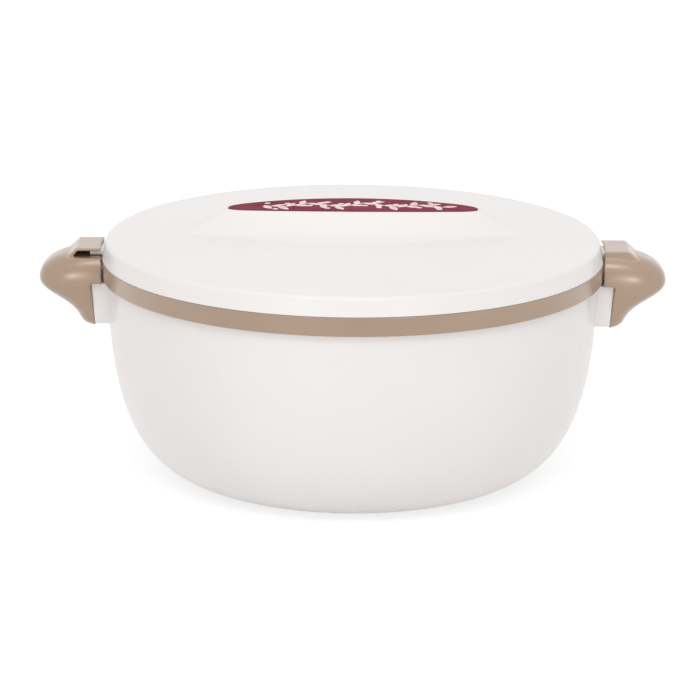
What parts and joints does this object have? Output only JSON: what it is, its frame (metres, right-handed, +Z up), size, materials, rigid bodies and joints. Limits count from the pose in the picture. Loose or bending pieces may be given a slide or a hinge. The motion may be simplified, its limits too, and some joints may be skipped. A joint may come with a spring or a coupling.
{
  "type": "insulated chapati casserole",
  "caption": "Round insulated casserole: white double-walled bowl, tan collar and ear handles, twist-lock lid with a lens-shaped grip ridge and a maroon label.",
  "frame": {"origin": "centre of the foot ring, on the surface the casserole stands on", "axes": "+Z up along the bowl's axis, X through the two handles, front faces -Y"},
  "size_m": [0.338, 0.27, 0.1456],
  "materials": {
    "white_plastic": "glossy warm white moulded plastic",
    "tan_plastic": "pearly tan moulded plastic",
    "steel": "satin stainless steel sheet",
    "zinc_steel": "zinc-plated steel screws",
    "foam": "rigid polyurethane foam, sealed in",
    "silicone": "milky silicone",
    "label": "glossy maroon insert with a printed cream pattern"
  },
  "bodies": {
    "casserole_body": {"outer_shell": "white_plastic", "base_plug": "white_plastic", "body_foam": "foam", "inner_bowl": "steel", "rim_collar": "tan_plastic", "left_handle": "tan_plastic", "right_handle": "tan_plastic", "left_handle_screws": "zinc_steel", "right_handle_screws": "zinc_steel"},
    "seal_ring": {"rim_seal": "silicone"},
    "lid": {"lid_cover": "white_plastic", "lid_fill_plug": "white_plastic", "lid_foam": "foam", "lid_liner": "steel", "label_plate": "label"}
  },
  "joints": [
    {"name": "lid_twist", "type": "hinge", "parent": "casserole_body", "child": "seal_ring", "pos_m": [0, 0, 0.118], "axis": [0, 0, 1], "range_deg": [0, 18]},
    {"name": "lid_lift", "type": "slide", "parent": "seal_ring", "child": "lid", "axis": [0, 0, 1], "range_m": [0, 0.12]}
  ]
}
